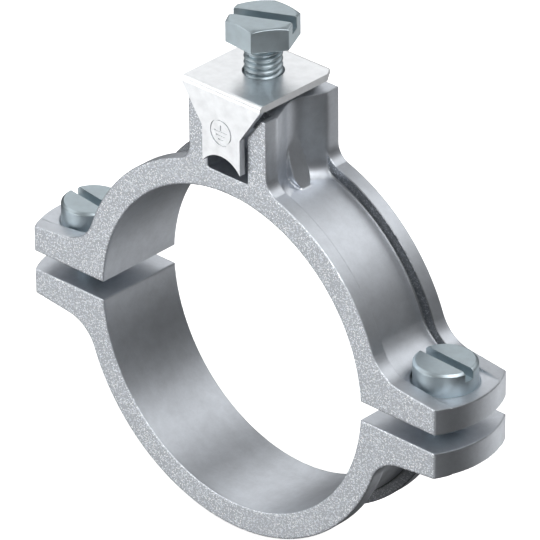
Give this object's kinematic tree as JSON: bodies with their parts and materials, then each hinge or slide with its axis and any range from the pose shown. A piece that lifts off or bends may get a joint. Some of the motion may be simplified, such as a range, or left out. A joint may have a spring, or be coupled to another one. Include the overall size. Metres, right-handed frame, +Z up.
{
  "type": "earthing pipe clamp",
  "caption": "Die-cast two-part clamp that bonds an earth conductor to a metal pipe, drawn together by slotted screws, with a screw-down conductor terminal on top.",
  "frame": {"origin": "centre of the pipe bore, half way along it", "axes": "+Y along the pipe away from the terminal's marked side, +X along the line of the two clamp screws, +Z up to the conductor terminal"},
  "size_m": [0.0882, 0.0175, 0.0855],
  "materials": {
    "zinc_casting": "as-cast zinc, fine grain on the end faces",
    "plated_screw": "blue-passivated zinc plating, satin",
    "bright_sheet": "bright zinc plating"
  },
  "bodies": {
    "upper_half": {"upper_half": "zinc_casting"},
    "lower_half": {"lower_half": "zinc_casting"},
    "left_clamp_screw": {"left_clamp_screw": "plated_screw"},
    "right_clamp_screw": {"right_clamp_screw": "plated_screw"},
    "conductor_saddle": {"conductor_saddle": "bright_sheet"},
    "terminal_screw": {"terminal_screw": "plated_screw"}
  },
  "joints": [
    {"name": "halves_close", "type": "slide", "parent": "upper_half", "child": "lower_half", "axis": [0, 0, 1], "range_m": [-0.003, 0.0031]},
    {"name": "left_clamp_screw_turn", "type": "hinge", "parent": "upper_half", "child": "left_clamp_screw", "pos_m": [-0.03685, 0, 0], "axis": [0, 0, 1], "range_deg": [-1117, 1081]},
    {"name": "right_clamp_screw_turn", "type": "hinge", "parent": "upper_half", "child": "right_clamp_screw", "pos_m": [0.03685, 0, 0], "axis": [0, 0, 1], "range_deg": [-1117, 1081]},
    {"name": "terminal_screw_drive", "type": "slide", "parent": "upper_half", "child": "terminal_screw", "axis": [0, 0, 1], "range_m": [-0.0071, 0.001]},
    {"name": "saddle_slide", "type": "slide", "parent": "upper_half", "child": "conductor_saddle", "axis": [0, 0, 1], "range_m": [-0.00172, 0.0003]}
  ],
  "couplings": [
    {"joint": "left_clamp_screw_turn", "follows": "halves_close", "rad_per_m": -6283.2},
    {"joint": "right_clamp_screw_turn", "follows": "halves_close", "rad_per_m": -6283.2},
    {"joint": "saddle_slide", "follows": "terminal_screw_drive", "ratio": 0.24}
  ]
}
